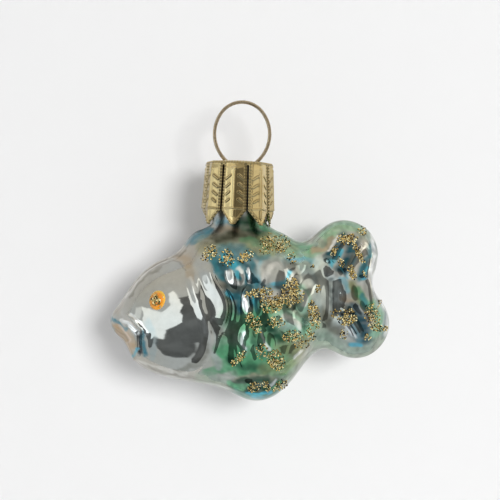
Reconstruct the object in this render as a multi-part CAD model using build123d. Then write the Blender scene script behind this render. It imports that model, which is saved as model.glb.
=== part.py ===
from build123d import *
import math
import os

# Blown glass fish ornament, hung from a spring wire in a crimped crown cap.
# +Z is up, +X points to the tail, -Y is the fish's left side.
# The origin is the hang point, at the top of the loop's eye.

# Hanger wire
wire_dia = 0.55
loop_top_radius = 4.0
loop_side_excess = 1.75
loop_join_angle = 37.4
waist_radius = 2.0
leg_reach = 8.4
wire_offset = 0.4

# Crown cap
sheet = 0.25
cap_height = 10.2
petal_count = 8
petal_turn = 6.0
petal_point = 2.2
rim_drop = 0.75
rim_flare = 0.6
skirt_flare = 0.62
slot_width = 0.5
tip_land = 0.5

# Neck
neck_dia = 8.4
neck_wall = 0.7
neck_clearance = 0.1
rim_gap = 0.12
rim_round = 0.2
flare_reach = 0.75
flare_sink = 0.5

# Glass body
body_length = 44.1
body_height = 28.4
body_thickness = 19.2
glass_wall = 0.8
petal_gap = 0.3
half_ring_steps = 14
first_hollow_ring = 2
relief_depth = 0.4
relief_width = 0.9
relief_ring_steps = 26

# Running gaps
hole_side_gap = 0.12
hole_end_gap = 0.15
leg_gap = 0.45
hole_inset = 0.7

# Eyes and glitter
eye_dia = 2.84
eye_thickness = 0.25
eye_edge = 0.12
grain_width = 0.46
grain_thickness = 0.12
grain_seat_gap = 0.02
grain_sides = 6
golden_angle = 137.508

# Cuts run past the faces by this much
overrun = 2.0

# Where the neck's axis and the shoulder line cross the body, as shares of its length and height,
# and how much of that height the body has below the neck
neck_axis_share = 0.462
shoulder_share = 0.962
neck_height_share = 0.96

# Side outline, nose to tail notch. Each row is one bent cross-section:
# top point, bottom point, bow towards the tail, half thickness.
# Lengths along X are shares of body_length, heights are shares of body_height,
# and thickness is a share of half body_thickness. The wall at both ends is a share of glass_wall.
nose_share = (0.001, 0.445)
notch_share = (0.931, 0.628)
nose_wall_share = 2.0
notch_wall_share = 1.5
outline_shares = [
    (0.010, 0.489, 0.007, 0.400, 0.000, 0.16),
    (0.032, 0.539, 0.031, 0.356, 0.002, 0.31),
    (0.064, 0.617, 0.060, 0.300, 0.006, 0.49),
    (0.107, 0.700, 0.085, 0.228, 0.018, 0.66),
    (0.157, 0.761, 0.136, 0.167, 0.036, 0.80),
    (0.205, 0.796, 0.207, 0.128, 0.055, 0.91),
    (0.249, 0.838, 0.277, 0.106, 0.078, 0.97),
    (0.290, 0.918, 0.330, 0.092, 0.080, 0.98),
    (0.345, 0.957, 0.398, 0.068, 0.062, 0.98),
    (0.440, 0.968, 0.492, 0.004, 0.036, 1.00),
    (0.560, 0.958, 0.590, 0.028, 0.018, 0.95),
    (0.633, 0.914, 0.655, 0.122, 0.006, 0.84),
    (0.690, 0.883, 0.710, 0.233, 0.000, 0.69),
    (0.744, 0.939, 0.769, 0.286, 0.000, 0.56),
    (0.798, 0.992, 0.840, 0.242, -0.004, 0.51),
    (0.858, 0.997, 0.912, 0.242, -0.012, 0.48),
    (0.919, 0.950, 0.969, 0.306, -0.024, 0.43),
    (0.955, 0.844, 0.998, 0.411, -0.044, 0.34),
    (0.950, 0.739, 0.984, 0.517, -0.030, 0.23),
    (0.938, 0.667, 0.953, 0.589, -0.012, 0.13),
]

# Relief of the mould, the same on both flanks. Depths and widths are shares of relief_depth
# and relief_width, places are shares of the body. Lines first, then rounded bumps and dishes.
relief_line_shares = [
    (1.05, 1.06, [(0.301, 0.675), (0.342, 0.483), (0.355, 0.345), (0.301, 0.206)]),
    (-0.85, 1.06, [(0.335, 0.654), (0.373, 0.494), (0.39, 0.345), (0.342, 0.196)]),
    (0.85, 0.89, [(0.036, 0.499), (0.088, 0.451), (0.143, 0.388)]),
    (-1.12, 0.89, [(0.03, 0.446), (0.067, 0.403), (0.112, 0.329)]),
    (0.75, 0.89, [(0.06, 0.345), (0.088, 0.292), (0.122, 0.244)]),
    (-0.75, 0.78, [(0.126, 0.409), (0.122, 0.345), (0.122, 0.281)]),
    (0.85, 1.11, [(0.335, 0.739), (0.362, 0.59), (0.393, 0.451)]),
    (-1.12, 1.00, [(0.369, 0.75), (0.39, 0.643), (0.424, 0.547), (0.41, 0.419)]),
    (-0.85, 1.00, [(0.479, 0.771), (0.469, 0.611), (0.475, 0.473)]),
    (-0.85, 1.00, [(0.541, 0.718), (0.527, 0.558), (0.561, 0.398)]),
    (-0.75, 1.00, [(0.616, 0.771), (0.664, 0.664), (0.664, 0.537)]),
    (-0.70, 1.00, [(0.489, 0.398), (0.506, 0.324), (0.499, 0.249)]),
    (-0.70, 1.00, [(0.715, 0.718), (0.729, 0.6), (0.705, 0.451)]),
    (-0.85, 1.00, [(0.75, 0.739), (0.76, 0.59), (0.753, 0.451)]),
    (-1.05, 0.89, [(0.767, 0.771), (0.784, 0.84), (0.811, 0.909)]),
    (-1.10, 1.00, [(0.815, 0.734), (0.839, 0.798), (0.859, 0.872)]),
    (-0.85, 0.89, [(0.88, 0.696), (0.901, 0.771), (0.914, 0.845)]),
    (-0.90, 1.00, [(0.815, 0.547), (0.849, 0.473), (0.883, 0.377)]),
    (-0.85, 1.00, [(0.863, 0.569), (0.897, 0.494), (0.925, 0.409)]),
    (-0.65, 1.11, [(0.438, 0.143), (0.534, 0.148), (0.63, 0.19)]),
]
relief_bump_shares = [
    (1.05, 0.448, 0.718, 0.031, 0.074),
    (1.00, 0.510, 0.718, 0.027, 0.069),
    (1.05, 0.503, 0.569, 0.027, 0.074),
    (0.85, 0.438, 0.521, 0.024, 0.069),
    (1.05, 0.578, 0.739, 0.045, 0.069),
    (1.00, 0.691, 0.590, 0.031, 0.080),
    (0.95, 0.630, 0.451, 0.045, 0.053),
    (0.85, 0.568, 0.473, 0.031, 0.064),
    (0.95, 0.527, 0.340, 0.027, 0.069),
    (0.75, 0.475, 0.356, 0.021, 0.074),
    (1.00, 0.777, 0.728, 0.024, 0.037),
    (-0.85, 0.787, 0.600, 0.031, 0.096),
    (0.85, 0.829, 0.600, 0.024, 0.048),
    (0.80, 0.657, 0.292, 0.038, 0.048),
]

# Eye and pupil, as shares of the body and of the eye
eye_share = (0.169, 0.553)
pupil_share = 0.34
pupil_offset_shares = (-0.16, 0.12)
pupil_grains = 9

# Glitter groups on each flank: name, centre, spread along X and along Z, grains.
# Centres are shares of the body's length and height, spreads are shares of body_height.
glitter_shares = [
    ("nape_glitter", 0.385, 0.795, 0.125, 0.050, 14),
    ("back_glitter", 0.580, 0.860, 0.085, 0.060, 12),
    ("flank_glitter", 0.590, 0.590, 0.140, 0.105, 20),
    ("rear_glitter", 0.715, 0.430, 0.070, 0.120, 16),
    ("side_glitter", 0.530, 0.340, 0.120, 0.130, 14),
    ("belly_glitter", 0.550, 0.075, 0.100, 0.040, 10),
    ("tail_top_glitter", 0.850, 0.850, 0.090, 0.100, 16),
    ("tail_low_glitter", 0.890, 0.440, 0.105, 0.070, 16),
]

# Worked-out sizes
wire_radius = wire_dia / 2
neck_radius = neck_dia / 2
bore_radius = neck_radius - neck_wall
neck_x = -wire_offset
half_petal = 180.0 / petal_count
flat_share = math.cos(math.radians(half_petal))
loop_side_radius = loop_top_radius + loop_side_excess
join_cos = math.cos(math.radians(loop_join_angle))
join_sin = math.sin(math.radians(loop_join_angle))
loop_centre_z = wire_radius - loop_top_radius
side_centre_x = -loop_side_excess * join_cos
side_centre_z = loop_centre_z - loop_side_excess * join_sin
hole_x = bore_radius - wire_offset - hole_inset
hole_lean = math.acos((hole_x - side_centre_x) / loop_side_radius)
hinge_z = side_centre_z - loop_side_radius * math.sin(hole_lean)
cap_top_z = hinge_z + sheet / 2
skirt_z = cap_top_z - cap_height
shoulder_z = skirt_z - petal_gap
neck_rim_z = cap_top_z - sheet - rim_gap
cap_top_corner = (neck_radius + neck_clearance + sheet) / flat_share
cap_rim_corner = cap_top_corner + rim_flare
cap_tip_corner = cap_rim_corner + skirt_flare
leg_end_x = bore_radius - wire_offset - wire_radius - leg_gap
leg_end_z = cap_top_z - leg_reach


def body_x(share):
    return neck_x + (share - neck_axis_share) * body_length


def body_z(share):
    return shoulder_z + (share - shoulder_share) * body_height


def body_point(shares):
    return Vector(body_x(shares[0]), 0, body_z(shares[1]))


def polar(centre_x, centre_z, radius, angle):
    return Vector(centre_x + radius * math.cos(angle), 0, centre_z + radius * math.sin(angle))


# Hanger: an oval loop, two waists below the cap and two splayed legs
def half_wire(side):
    hole_angle = -hole_lean
    waist = polar(side_centre_x, side_centre_z, loop_side_radius + waist_radius, hole_angle)
    reach = Vector(leg_end_x, 0, leg_end_z) - waist
    aim = math.atan2(reach.Z, reach.X) + 2 * math.pi
    leave = aim - math.acos(waist_radius / reach.length)
    enter = math.pi + hole_angle
    join = math.radians(loop_join_angle)
    top = polar(0, loop_centre_z, loop_top_radius, math.pi / 2)
    top_mid = polar(0, loop_centre_z, loop_top_radius, (math.pi / 2 + join) / 2)
    joint = polar(0, loop_centre_z, loop_top_radius, join)
    side_mid = polar(side_centre_x, side_centre_z, loop_side_radius, (join + hole_angle) / 2)
    hole = polar(side_centre_x, side_centre_z, loop_side_radius, hole_angle)
    waist_mid = polar(waist.X, waist.Z, waist_radius, (enter + leave) / 2)
    leg_top = polar(waist.X, waist.Z, waist_radius, leave)
    leg_end = Vector(leg_end_x, 0, leg_end_z)
    points = [top, top_mid, joint, side_mid, hole, waist_mid, leg_top, leg_end]
    top, top_mid, joint, side_mid, hole, waist_mid, leg_top, leg_end = [
        Vector(side * p.X, 0, p.Z) for p in points
    ]
    return [
        Edge.make_three_point_arc(top, top_mid, joint),
        Edge.make_three_point_arc(joint, side_mid, hole),
        Edge.make_three_point_arc(hole, waist_mid, leg_top),
        Edge.make_line(leg_top, leg_end),
    ]


def make_hanger_wire():
    path = Wire(half_wire(-1) + half_wire(1))
    start = Plane(origin=path @ 0, z_dir=path % 0)
    return sweep(start * Circle(wire_radius), path=path)


# Crown cap: a folded eight-sided skirt under a flat top
def octagon(corner, z):
    corners = []
    for k in range(petal_count):
        angle = math.radians(-90 - petal_turn + k * 2 * half_petal)
        corners.append((neck_x + corner * math.cos(angle), corner * math.sin(angle), z))
    return Wire.make_polygon(corners, close=True)


def cap_block(inset, top_z, bottom_z):
    shrink = inset / flat_share
    rim_z = cap_top_z - rim_drop
    slope = skirt_flare / (cap_height - rim_drop)
    bottom_corner = cap_tip_corner + slope * (skirt_z - bottom_z)
    top_part = Solid.make_loft(
        [octagon(cap_top_corner - shrink, top_z), octagon(cap_rim_corner - shrink, rim_z)], True
    )
    skirt = Solid.make_loft(
        [octagon(cap_rim_corner - shrink, rim_z), octagon(bottom_corner - shrink, bottom_z)], True
    )
    return top_part.fuse(skirt)


def petal_cut(angle):
    direction = Vector(math.cos(angle), math.sin(angle), 0)
    tangent = Vector(-math.sin(angle), math.cos(angle), 0)
    half_slot = slot_width / 2
    shoulder = petal_point - cap_height
    half_flat = cap_tip_corner * math.sin(math.radians(half_petal)) - tip_land / 2
    low = -cap_height
    slope = (half_flat - half_slot) / (shoulder - low)
    outline = Polyline(
        (-half_slot, -rim_drop),
        (half_slot, -rim_drop),
        (half_slot, shoulder),
        (half_flat, low),
        (half_flat + slope * overrun, low - overrun),
        (-half_flat - slope * overrun, low - overrun),
        (-half_flat, low),
        (-half_slot, shoulder),
        close=True,
    )
    frame = Plane(origin=(neck_x, 0, cap_top_z), x_dir=tangent, z_dir=direction)
    return extrude(frame * make_face(outline), cap_tip_corner + overrun)


def wire_hole(side):
    lean = math.tan(math.pi / 2 - hole_lean)
    length = wire_dia / math.cos(math.pi / 2 - hole_lean) + sheet * lean + 2 * hole_end_gap
    width = wire_dia + 2 * hole_side_gap
    return Pos(side * hole_x, 0, cap_top_z) * extrude(SlotOverall(length, width), sheet * 2, both=True)


def make_crown_cap():
    cap = cap_block(0, cap_top_z, skirt_z)
    hollow = cap_block(sheet, cap_top_z - sheet, skirt_z - overrun)
    cap = cap - hollow
    for k in range(petal_count):
        cap = cap - petal_cut(math.radians(-90 - petal_turn + (2 * k + 1) * half_petal))
    return cap - wire_hole(-1) - wire_hole(1)


# Glass body: a loft through bent rings, each drawn as a right and a left half.
# The hollow goes through the same rings, each point drawn in along the skin's own normal.
def skin_ring(row, half_steps):
    top = body_point(row[0:2])
    low = body_point(row[2:4])
    middle = (top + low) * 0.5
    half = (top - low) * 0.5
    bow = Vector(row[4] * body_length, 0, 0)
    half_thickness = row[5] * body_thickness / 2
    ring = []
    for step in range(2 * half_steps):
        turn = math.pi * step / half_steps
        along = math.cos(turn)
        spot = middle + half * along + bow * (1 - along * along)
        ring.append(Vector(spot.X, half_thickness * math.sin(turn), spot.Z))
    return ring


def line_distance(spot, ends):
    nearest = body_length
    for start, end in zip(ends, ends[1:]):
        way = end - start
        share = max(0, min(1, (spot - start).dot(way) / way.dot(way)))
        nearest = min(nearest, (spot - start - way * share).length)
    return nearest


def relief(spot):
    height = 0
    for depth_share, width_share, shares in relief_line_shares:
        ends = [body_point(share) for share in shares]
        reach = line_distance(spot, ends) / (width_share * relief_width)
        height += depth_share * math.exp(-reach * reach)
    for depth_share, x_share, z_share, half_x_share, half_z_share in relief_bump_shares:
        away = spot - body_point((x_share, z_share))
        u = away.X / (half_x_share * body_length)
        v = away.Z / (half_z_share * body_height)
        height += depth_share * max(0, 1 - (u * u + v * v) / 1.6) ** 1.6
    return height * relief_depth


# Rows of the outline with one more between each two, pressed with the mould's relief.
# The relief fades out towards the top and bottom lines.
def relief_rings():
    ends = [(*nose_share, *nose_share, 0, 0), *outline_shares, (*notch_share, *notch_share, 0, 0)]
    rows = []
    for before, here, after, last in zip(ends, ends[1:], ends[2:], ends[3:]):
        rows.append(here)
        rows.append([(9 * (b + c) - a - d) / 16 for a, b, c, d in zip(before, here, after, last)])
    rows.append(outline_shares[-1])
    rings = []
    for row in rows:
        ring = skin_ring(row, relief_ring_steps)
        for step, spot in enumerate(ring):
            facing = math.sin(math.pi * step / relief_ring_steps)
            rise = relief(Vector(spot.X, 0, spot.Z)) * facing * abs(facing)
            ring[step] = spot + Vector(0, rise, 0)
        rings.append(ring)
    return rings


def hollow_ring(before, ring, after):
    spots = []
    for step in range(2 * half_ring_steps):
        along = after[step] - before[step]
        around = ring[(step + 1) % (2 * half_ring_steps)] - ring[step - 1]
        spots.append(ring[step] + around.cross(along).normalized() * glass_wall)
    return spots


def ring_wire(ring):
    outward = Vector(0, 1, 0)
    half_steps = len(ring) // 2
    steps = [step / half_steps for step in range(half_steps + 1)]
    right_half = ring[: half_steps + 1]
    left_half = [*ring[half_steps:], ring[0]]
    return Wire(
        [
            Edge.make_spline(right_half, tangents=[outward, -outward], parameters=steps),
            Edge.make_spline(left_half, tangents=[-outward, outward], parameters=steps),
        ]
    )


def loft_rings(front, rings, back):
    return Solid.make_loft([Vertex(*front), *[ring_wire(ring) for ring in rings], Vertex(*back)])


def body_skin(rings):
    return loft_rings(body_point(nose_share), rings, body_point(notch_share))


def body_hollow(rings):
    nose = body_point(nose_share)
    notch = body_point(notch_share)
    ends = [[nose] * 2 * half_ring_steps, *rings, [notch] * 2 * half_ring_steps]
    kept = range(first_hollow_ring, len(rings))
    drawn = [hollow_ring(ends[k], ends[k + 1], ends[k + 2]) for k in kept]
    front = nose + Vector(nose_wall_share * glass_wall, 0, 0)
    back = notch - Vector(notch_wall_share * glass_wall, 0, 0)
    return loft_rings(front, drawn, back)


# How far the body's shoulder has fallen at a distance to the side of its top line
def shoulder_drop(reach):
    across = 2 * reach / body_thickness
    return body_height * neck_height_share / 2 * (1 - math.sqrt(1 - across * across))


def neck_tube():
    foot_radius = neck_radius + flare_reach
    foot_z = shoulder_z - shoulder_drop(foot_radius) - flare_sink
    flare_z = shoulder_z - shoulder_drop(neck_radius) / 2
    corner = math.sqrt(0.5)
    rim_mid = neck_radius - rim_round + rim_round * corner
    rim_mid_z = neck_rim_z - rim_round + rim_round * corner
    outline = [
        Edge.make_line((0, 0, foot_z), (0, 0, neck_rim_z)),
        Edge.make_line((0, 0, neck_rim_z), (neck_radius - rim_round, 0, neck_rim_z)),
        Edge.make_three_point_arc(
            (neck_radius - rim_round, 0, neck_rim_z),
            (rim_mid, 0, rim_mid_z),
            (neck_radius, 0, neck_rim_z - rim_round),
        ),
        Edge.make_line((neck_radius, 0, neck_rim_z - rim_round), (neck_radius, 0, flare_z)),
        Edge.make_tangent_arc((neck_radius, 0, flare_z), (0, 0, -1), (foot_radius, 0, foot_z)),
        Edge.make_line((foot_radius, 0, foot_z), (0, 0, foot_z)),
    ]
    return Pos(neck_x, 0, 0) * revolve(make_face(outline), Axis.Z, 360)


def neck_bore():
    foot_z = shoulder_z - neck_radius
    length = neck_rim_z - foot_z + overrun
    return Solid.make_cylinder(bore_radius, length, Plane((neck_x, 0, foot_z)))


def surface_spot(skin, x, z, side):
    line = Axis((x, side * body_thickness, z), (0, -side, 0))
    hits = skin.find_intersection_points(line)
    best = max(hits, key=lambda hit: side * hit[0].Y)
    normal = best[1]
    if normal.Y * side < 0:
        normal = -normal
    return best[0], normal


def surface_plane(skin, x, z, side, lean):
    spot, normal = surface_spot(skin, x, z, side)
    along = Vector(math.cos(math.radians(lean)), 0, math.sin(math.radians(lean)))
    along = along - normal * along.dot(normal)
    return Plane(origin=spot, x_dir=along, z_dir=normal)


def make_glass_body(skin, rings):
    body = skin.fuse(neck_tube().solid())
    return body.cut(body_hollow(rings).fuse(neck_bore()))


# Eyes: a disc of enamel laid on the glass, with gold grains for its pupil
def make_eye(skin, side):
    place = surface_plane(skin, body_x(eye_share[0]), body_z(eye_share[1]), side, 0)
    blank = Cylinder(eye_dia / 2, eye_dia)
    blank = fillet(blank.edges().sort_by(Axis.Z)[-1:], eye_edge)
    disc = place * Pos(0, 0, eye_thickness - eye_dia / 2) * blank
    return disc.solid().cut(skin)


def grain(plane):
    hexagon = RegularPolygon(grain_width / 2, grain_sides, major_radius=False)
    return plane * Pos(0, 0, grain_seat_gap) * extrude(hexagon, grain_thickness)


def spiral(count):
    for k in range(count):
        radius = math.sqrt((k + 0.5) / count)
        angle = math.radians(golden_angle * k)
        yield radius * math.cos(angle), radius * math.sin(angle)


def make_pupil(skin, side):
    place = surface_plane(skin, body_x(eye_share[0]), body_z(eye_share[1]), side, 0)
    radius = pupil_share * eye_dia
    grains = []
    for u, v in spiral(pupil_grains):
        x = (pupil_offset_shares[0] * eye_dia + u * radius) * place.x_dir.X
        y = (pupil_offset_shares[1] * eye_dia + v * radius) * place.y_dir.Z
        grains.append(grain(place * Plane(origin=(x, y, eye_thickness))))
    return Compound(grains)


def make_glitter(body, row, side):
    grains = []
    for u, v in spiral(row[5]):
        x = body_x(row[1]) + u * row[3] * body_height
        z = body_z(row[2]) + v * row[4] * body_height
        grains.append(grain(surface_plane(body, x, z, side, math.degrees(math.atan2(v, u)))))
    return Compound(grains)


rings = [skin_ring(row, half_ring_steps) for row in outline_shares]
skin = body_skin(relief_rings())
glass_body = make_glass_body(skin, rings)
parts = {
    "hanger_wire": make_hanger_wire(),
    "crown_cap": make_crown_cap(),
    "glass_body": glass_body,
}
for side, side_name in ((-1, "left"), (1, "right")):
    parts[side_name + "_eye_enamel"] = make_eye(skin, side)
    parts[side_name + "_eye_pupil"] = make_pupil(skin, side)
    for row in glitter_shares:
        parts[side_name + "_" + row[0]] = make_glitter(glass_body, row, side)

os.makedirs("parts", exist_ok=True)
for name, shape in parts.items():
    export_step(shape, "parts/" + name + ".step")
    print(name, round(shape.volume, 3))
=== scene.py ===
import itertools
import math
import random

import bpy
import numpy as np
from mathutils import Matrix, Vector
from mathutils.bvhtree import BVHTree


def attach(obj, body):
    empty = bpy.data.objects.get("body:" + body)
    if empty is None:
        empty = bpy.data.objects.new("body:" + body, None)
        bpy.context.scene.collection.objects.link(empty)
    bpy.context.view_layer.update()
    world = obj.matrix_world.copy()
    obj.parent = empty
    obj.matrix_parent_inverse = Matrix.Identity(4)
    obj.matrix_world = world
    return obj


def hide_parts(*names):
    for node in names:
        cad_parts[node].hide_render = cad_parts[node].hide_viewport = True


# Blown glass fish ornament. Tables are in millimetres or in pixels of the 500 x 500 frame.
# Meshes are built in millimetres and scaled once.
MM = 0.001

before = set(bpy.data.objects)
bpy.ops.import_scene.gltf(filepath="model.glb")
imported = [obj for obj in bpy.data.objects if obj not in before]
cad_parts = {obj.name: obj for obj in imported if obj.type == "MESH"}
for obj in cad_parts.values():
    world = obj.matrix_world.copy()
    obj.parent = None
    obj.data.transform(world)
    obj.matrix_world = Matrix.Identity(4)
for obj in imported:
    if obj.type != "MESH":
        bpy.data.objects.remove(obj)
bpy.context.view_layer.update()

# ---- camera frame
FRAME_PX = 500
PX_MM = 0.158  # one pixel at the fish's middle plane
LENS = 85.0
SENSOR = 36.0
AIM_X, AIM_Z = 1.25, -23.1
CAMERA_FAR = FRAME_PX * PX_MM * LENS / SENSOR


def to_px(x, y, z):
    """Where a point of either flank shows in the frame."""
    scale = CAMERA_FAR / ((CAMERA_FAR - np.abs(y)) * PX_MM)
    return FRAME_PX / 2 + (x - AIM_X) * scale, FRAME_PX / 2 - (z - AIM_Z) * scale


# ---- body form
BODY_LENGTH = 44.1
BODY_HEIGHT = 28.4
BODY_THICK = 19.2
NECK_X = -0.4
NECK_AXIS_SHARE = 0.462
SHOULDER_SHARE = 0.962
SHOULDER_Z = -19.487
NOSE = (0.001, 0.445)
NOTCH = (0.931, 0.628)
# Rings from head to tail: x and z of the top, x and z of the foot, bow and thickness, as shares of the body
STATIONS = [
    (0.01, 0.489, 0.007, 0.4, 0.0, 0.16), (0.032, 0.539, 0.031, 0.356, 0.002, 0.31),
    (0.064, 0.617, 0.06, 0.3, 0.006, 0.49), (0.107, 0.7, 0.085, 0.228, 0.018, 0.66),
    (0.157, 0.761, 0.136, 0.167, 0.036, 0.8), (0.205, 0.796, 0.207, 0.128, 0.055, 0.91),
    (0.249, 0.838, 0.277, 0.106, 0.078, 0.97), (0.29, 0.918, 0.33, 0.092, 0.08, 0.98),
    (0.345, 0.957, 0.398, 0.068, 0.062, 0.98), (0.44, 0.968, 0.492, 0.004, 0.036, 1.0),
    (0.56, 0.958, 0.59, 0.028, 0.018, 0.95), (0.633, 0.914, 0.655, 0.122, 0.006, 0.84),
    (0.69, 0.883, 0.71, 0.233, 0.0, 0.69), (0.744, 0.939, 0.769, 0.286, 0.0, 0.56),
    (0.798, 0.992, 0.84, 0.242, -0.004, 0.51), (0.858, 0.997, 0.912, 0.242, -0.012, 0.48),
    (0.919, 0.95, 0.969, 0.306, -0.024, 0.43), (0.955, 0.844, 0.998, 0.411, -0.044, 0.34),
    (0.95, 0.739, 0.984, 0.517, -0.03, 0.23), (0.938, 0.667, 0.953, 0.589, -0.012, 0.13),
]
RINGS = 330
RING_POINTS = 460
POLE_RINGS = 3

# Raised and sunk lines of the mould: height, half widths left and right of the way it runs, points (px)
LINES = [
    # gill cover edge, with a lens-shaped fold at its top
    (0.17, 4.2, 5, (190, 274), (193, 286), (199, 304), (206, 324), (208, 338), (204, 356), (189, 371)),
    (0.08, 2.6, 2.4, (192, 268), (197, 278), (200, 290), (203, 304)),
    (-0.1, 2.4, 3.6, (210, 324), (215, 340), (210, 360), (196, 375)),
    # lips
    (0.24, 3.6, 2, (113, 316), (121, 321), (129, 327), (137, 334)),
    (0.26, 3, 2.4, (121, 311), (129, 316.5), (138, 325), (145.5, 334.5)),
    (-0.34, 3.4, 3.4, (115, 326), (122, 334), (129, 343)),
    (0.3, 3.4, 3, (120, 341), (127, 351), (137, 361)),
    (-0.34, 1.8, 2, (140.5, 329), (139.5, 341), (140, 354)),
    (0.07, 2.4, 3.4, (146, 331), (147, 342), (146, 353)),
    # forehead lines
    (-0.09, 2.4, 2.4, (124, 300), (137, 281), (154, 266), (176, 258), (190, 262)),
    (0.08, 2, 3, (121, 312), (134, 288), (152, 271), (176, 263)),
    # shoulder fold with its steep edge, the S-shaped line before the scales
    (0.55, 10.5, 2.2, (211, 264), (214, 278), (223, 293), (227, 308), (222, 328)),
    (0.14, 3, 4.6, (221, 284), (231, 294), (236, 309), (232, 326)),
    (0.16, 4, 3, (214, 356), (219, 344), (222, 334)),
    # shallow furrows between rows of scales
    (-0.1, 4, 4, (243, 262), (243, 282), (240, 300), (242, 322)),
    (-0.1, 4.4, 4.4, (262, 284), (260, 300), (266, 322)),
    # folds above the belly
    (0.13, 3, 3, (235, 340), (238, 356), (244, 371)),
    (0.13, 3, 3, (254, 333), (255, 347), (259, 361)),
    # ribs of the tail's upper lobe
    (0.34, 4.6, 4.6, (343, 238), (334, 251), (328, 264)),
    (0.36, 5, 4.6, (361, 242), (352, 259), (344, 273)),
    (0.28, 4.4, 4, (376, 250), (370, 264), (365, 280)),
    # ribs of the lower lobe
    (0.42, 4, 4.6, (343, 306), (351, 321), (360, 337)),
    (0.26, 4.6, 4.2, (356, 302), (366, 317), (374, 331)),
    # root of the tail
    (-0.1, 6, 8, (320, 268), (326, 284), (327, 300), (326, 322)),
    # belly fin root
    (-0.2, 4, 4, (232, 381), (250, 379), (270, 379), (290, 371)),
    (0.16, 3, 3, (206, 380), (230, 386), (250, 394)),
]

# Rounded bumps and dishes: height, x, y, half width, half height, turn in degrees
BUMPS = [
    (0.5, 236, 273, 8.5, 15, -10), (0.34, 253, 270, 8, 13, -14), (0.46, 252, 302, 8.5, 15, -4),
    (0.5, 275, 270, 18, 15, -24), (0.3, 298, 264, 11, 8, -30), (0.42, 308, 297, 9, 16, 10),
    (0.46, 292, 322, 17, 10, 30), (0.3, 270, 320, 9, 12, -20), (0.38, 246, 337, 7, 12, 8),
    (0.4, 266, 344, 8, 12, -6), (0.34, 300, 350, 15, 8, -50), (0.26, 284, 356, 10, 8, -20),
    (0.26, 316, 252, 12, 8, 10), (0.42, 333, 270, 9, 9, 0), (-0.26, 332, 296, 9, 20, 4),
    (0.2, 348, 294, 8, 11, 0), (0.24, 322, 334, 12, 9, 30), (0.2, 262, 392, 17, 6, 0),
]
RIPPLE_MM = 0.035
RIPPLE_SIZE = 3.2
FINE_RIPPLE_MM = 0.003
FINE_RIPPLE_SIZE = 1.1
FLANK_RIPPLE_MM = 0.1
FLANK_RIPPLE_SIZE = 2.1

# ---- lacquer colours (linear), with a painted highlight and a painted groove shade among them
SILVER = (0.42, 0.43, 0.41)
LACQUER = {
    "tan": (0.4, 0.32, 0.22), "sand": (0.55, 0.53, 0.47), "amber": (0.42, 0.28, 0.14),
    "olive": (0.11, 0.105, 0.07), "grey": (0.62, 0.68, 0.64), "slate": (0.17, 0.195, 0.185),
    "painted_groove_shade": (0.02, 0.02, 0.025), "teal": (0.035, 0.18, 0.23), "navy": (0.015, 0.075, 0.1),
    "cyan": (0.06, 0.41, 0.55), "sky": (0.28, 0.38, 0.4), "green": (0.085, 0.29, 0.14),
    "leaf": (0.18, 0.46, 0.25), "pine": (0.012, 0.065, 0.035), "sea": (0.03, 0.2, 0.14),
    "mint": (0.34, 0.58, 0.45), "sage": (0.27, 0.36, 0.27), "moss": (0.25, 0.28, 0.13),
    "umber": (0.05, 0.055, 0.035), "painted_highlight": (0.86, 0.87, 0.85), "silver": SILVER,
}
# the painted layer holds lacquer colours and, on the glass, painted highlights and painted shade; on the cap it holds
# painted light and shade
PAINT = "lacquer_and_painted_light"  # the colour layer on each painted mesh
NECK_HAZE = 0.3
# blue-grey painted shade for the rim of the body
RIM_SHADE = (0.24, 0.33, 0.36)
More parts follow.
